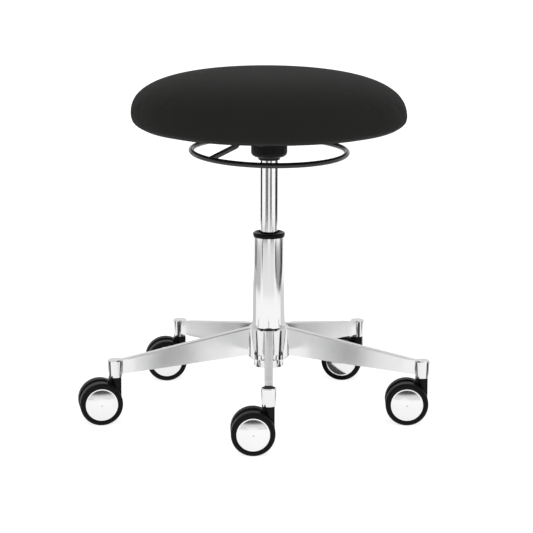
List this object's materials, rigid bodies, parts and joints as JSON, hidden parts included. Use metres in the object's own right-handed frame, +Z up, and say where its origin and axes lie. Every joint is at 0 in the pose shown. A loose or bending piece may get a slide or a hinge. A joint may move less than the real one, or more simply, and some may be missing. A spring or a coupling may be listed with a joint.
{
  "type": "stylist stool",
  "caption": "Rolling stylist stool: round black padded seat, gas-lift column with a ring release, polished star base and swivel casters.",
  "frame": {"origin": "on the column's axis, at the floor plane that the tyres stand on", "axes": "+Z up along the column's axis; -Y towards the front arm of the base; +X to the right seen from the front"},
  "size_m": [0.5595, 0.5258, 0.5513],
  "materials": {
    "polished_aluminium": "polished",
    "chrome": "polished",
    "cylinder_steel": "satin",
    "steel": "satin",
    "dark_steel": "satin",
    "black_steel": "satin",
    "black_plastic": "satin",
    "gloss_black": "gloss",
    "white_plastic": "matte",
    "tyre": "matte",
    "seat_pad": "matte",
    "seat_board": "matte"
  },
  "bodies": {
    "base": {"base_star": "polished_aluminium", "caster_stems": "steel", "outer_tube": "dark_steel", "column_sleeve": "chrome", "column_collar": "gloss_black", "guide_bush": "white_plastic"},
    "rod": {"piston_rod": "steel", "thrust_bearing": "steel", "bottom_clip": "steel"},
    "seat": {"gas_cylinder": "cylinder_steel", "seat_mechanism": "black_steel", "taper_socket": "black_steel", "boss_cover": "black_plastic", "seat_bolts": "steel", "seat_board": "seat_board", "seat_cushion": "seat_pad", "lever_pivot_pin": "steel"},
    "lever": {"release_ring": "black_steel", "ring_arm": "black_steel"},
    "valve": {"valve_pin": "steel"},
    "caster_front": {"caster_front_housing": "black_plastic", "caster_front_axle": "steel"},
    "caster_front_wheel_1": {"caster_front_wheel_1_core": "black_plastic", "caster_front_wheel_1_tyre": "tyre", "caster_front_wheel_1_cap": "chrome"},
    "caster_front_wheel_2": {"caster_front_wheel_2_core": "black_plastic", "caster_front_wheel_2_tyre": "tyre", "caster_front_wheel_2_cap": "chrome"},
    "caster_right": {"caster_right_housing": "black_plastic", "caster_right_axle": "steel"},
    "caster_right_wheel_1": {"caster_right_wheel_1_core": "black_plastic", "caster_right_wheel_1_tyre": "tyre", "caster_right_wheel_1_cap": "chrome"},
    "caster_right_wheel_2": {"caster_right_wheel_2_core": "black_plastic", "caster_right_wheel_2_tyre": "tyre", "caster_right_wheel_2_cap": "chrome"},
    "caster_back_right": {"caster_back_right_housing": "black_plastic", "caster_back_right_axle": "steel"},
    "caster_back_right_wheel_1": {"caster_back_right_wheel_1_core": "black_plastic", "caster_back_right_wheel_1_tyre": "tyre", "caster_back_right_wheel_1_cap": "chrome"},
    "caster_back_right_wheel_2": {"caster_back_right_wheel_2_core": "black_plastic", "caster_back_right_wheel_2_tyre": "tyre", "caster_back_right_wheel_2_cap": "chrome"},
    "caster_back_left": {"caster_back_left_housing": "black_plastic", "caster_back_left_axle": "steel"},
    "caster_back_left_wheel_1": {"caster_back_left_wheel_1_core": "black_plastic", "caster_back_left_wheel_1_tyre": "tyre", "caster_back_left_wheel_1_cap": "chrome"},
    "caster_back_left_wheel_2": {"caster_back_left_wheel_2_core": "black_plastic", "caster_back_left_wheel_2_tyre": "tyre", "caster_back_left_wheel_2_cap": "chrome"},
    "caster_left": {"caster_left_housing": "black_plastic", "caster_left_axle": "steel"},
    "caster_left_wheel_1": {"caster_left_wheel_1_core": "black_plastic", "caster_left_wheel_1_tyre": "tyre", "caster_left_wheel_1_cap": "chrome"},
    "caster_left_wheel_2": {"caster_left_wheel_2_core": "black_plastic", "caster_left_wheel_2_tyre": "tyre", "caster_left_wheel_2_cap": "chrome"}
  },
  "joints": [
    {"name": "seat_swivel", "type": "hinge", "parent": "base", "child": "rod", "pos_m": [0, 0, 0.07995], "axis": [0, 0, 1], "continuous": true},
    {"name": "seat_lift", "type": "slide", "parent": "rod", "child": "seat", "axis": [0, 0, 1], "range_m": [-0.1, 0.03]},
    {"name": "ring_lever", "type": "hinge", "parent": "seat", "child": "lever", "pos_m": [-0.02081, -0.01874, 0.4537], "axis": [-0.6691, 0.7431, 0], "range_deg": [0, 5], "stiffness_Nm_per_rad": 1.5, "springref_deg": -8.59},
    {"name": "valve_press", "type": "slide", "parent": "seat", "child": "valve", "axis": [0, 0, -1], "range_m": [0, 0.0026]},
    {"name": "caster_front_swivel", "type": "hinge", "parent": "base", "child": "caster_front", "pos_m": [0, -0.256, 0.0725], "axis": [0, 0, 1], "continuous": true},
    {"name": "caster_front_wheel_1_roll", "type": "hinge", "parent": "caster_front", "child": "caster_front_wheel_1", "pos_m": [-0.02399, -0.25675, 0.034], "axis": [-0.0314, 0.9995, 0], "continuous": true},
    {"name": "caster_front_wheel_2_roll", "type": "hinge", "parent": "caster_front", "child": "caster_front_wheel_2", "pos_m": [-0.02399, -0.25675, 0.034], "axis": [-0.0314, 0.9995, 0], "continuous": true},
    {"name": "caster_right_swivel", "type": "hinge", "parent": "base", "child": "caster_right", "pos_m": [0.24347, -0.07911, 0.0725], "axis": [0, 0, 1], "continuous": true},
    {"name": "caster_right_wheel_1_roll", "type": "hinge", "parent": "caster_right", "child": "caster_right_wheel_1", "pos_m": [0.21947, -0.07869, 0.034], "axis": [0.0175, 0.9998, 0], "continuous": true},
    {"name": "caster_right_wheel_2_roll", "type": "hinge", "parent": "caster_right", "child": "caster_right_wheel_2", "pos_m": [0.21947, -0.07869, 0.034], "axis": [0.0175, 0.9998, 0], "continuous": true},
    {"name": "caster_back_right_swivel", "type": "hinge", "parent": "base", "child": "caster_back_right", "pos_m": [0.15047, 0.20711, 0.0725], "axis": [0, 0, 1], "continuous": true},
    {"name": "caster_back_right_wheel_1_roll", "type": "hinge", "parent": "caster_back_right", "child": "caster_back_right_wheel_1", "pos_m": [0.12679, 0.21099, 0.034], "axis": [0.1616, 0.9869, 0], "continuous": true},
    {"name": "caster_back_right_wheel_2_roll", "type": "hinge", "parent": "caster_back_right", "child": "caster_back_right_wheel_2", "pos_m": [0.12679, 0.21099, 0.034], "axis": [0.1616, 0.9869, 0], "continuous": true},
    {"name": "caster_back_left_swivel", "type": "hinge", "parent": "base", "child": "caster_back_left", "pos_m": [-0.15047, 0.20711, 0.0725], "axis": [0, 0, 1], "continuous": true},
    {"name": "caster_back_left_wheel_1_roll", "type": "hinge", "parent": "caster_back_left", "child": "caster_back_left_wheel_1", "pos_m": [-0.17435, 0.20468, 0.034], "axis": [-0.1011, 0.9949, 0], "continuous": true},
    {"name": "caster_back_left_wheel_2_roll", "type": "hinge", "parent": "caster_back_left", "child": "caster_back_left_wheel_2", "pos_m": [-0.17435, 0.20468, 0.034], "axis": [-0.1011, 0.9949, 0], "continuous": true},
    {"name": "caster_left_swivel", "type": "hinge", "parent": "base", "child": "caster_left", "pos_m": [-0.24347, -0.07911, 0.0725], "axis": [0, 0, 1], "continuous": true},
    {"name": "caster_left_wheel_1_roll", "type": "hinge", "parent": "caster_left", "child": "caster_left_wheel_1", "pos_m": [-0.26718, -0.08282, 0.034], "axis": [-0.1547, 0.988, 0], "continuous": true},
    {"name": "caster_left_wheel_2_roll", "type": "hinge", "parent": "caster_left", "child": "caster_left_wheel_2", "pos_m": [-0.26718, -0.08282, 0.034], "axis": [-0.1547, 0.988, 0], "continuous": true}
  ],
  "couplings": [
    {"joint": "valve_press", "follows": "ring_lever", "m_per_rad": 0.028}
  ]
}
